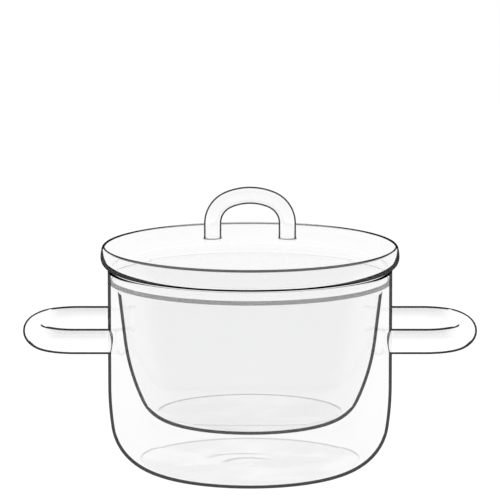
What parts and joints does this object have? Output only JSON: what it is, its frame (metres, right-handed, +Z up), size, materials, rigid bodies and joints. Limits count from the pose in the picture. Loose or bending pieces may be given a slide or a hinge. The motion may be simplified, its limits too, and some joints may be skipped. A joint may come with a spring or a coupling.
{
  "type": "glass pan",
  "caption": "Clear glass pan with an air gap round its inner bowl, looped tube handles at its sides and a lift-off domed lid with a loop grip.",
  "frame": {"origin": "on the table, at the middle of the pan's flat base", "axes": "+Z up along the pan's axis, +X out through the right-hand handle, +Y away from the viewer of the picture"},
  "size_m": [0.3194, 0.21, 0.2017],
  "materials": {
    "vessel_glass": "clear blown borosilicate, fire-polished",
    "bowl_glass": "clear blown borosilicate, fire-polished",
    "seam_glass": "fused ring of glass, looks grey where it bends the light",
    "handle_glass": "clear drawn tube, bent in the flame",
    "weld_glass": "flame-worked weld, smooth",
    "lid_glass": "clear blown borosilicate, fire-polished"
  },
  "bodies": {
    "pan": {"outer_vessel": "vessel_glass", "inner_bowl": "bowl_glass", "rim_seam": "seam_glass", "vent_seal": "seam_glass", "handle_left": "handle_glass", "handle_right": "handle_glass", "handle_left_welds": "weld_glass", "handle_right_welds": "weld_glass"},
    "lid": {"lid_dome": "lid_glass", "lid_collar": "lid_glass", "lid_loop": "handle_glass", "lid_loop_welds": "weld_glass"}
  },
  "joints": [
    {"name": "lid_lift", "type": "slide", "parent": "pan", "child": "lid", "axis": [0, 0, 1], "range_m": [0, 0.12]}
  ]
}
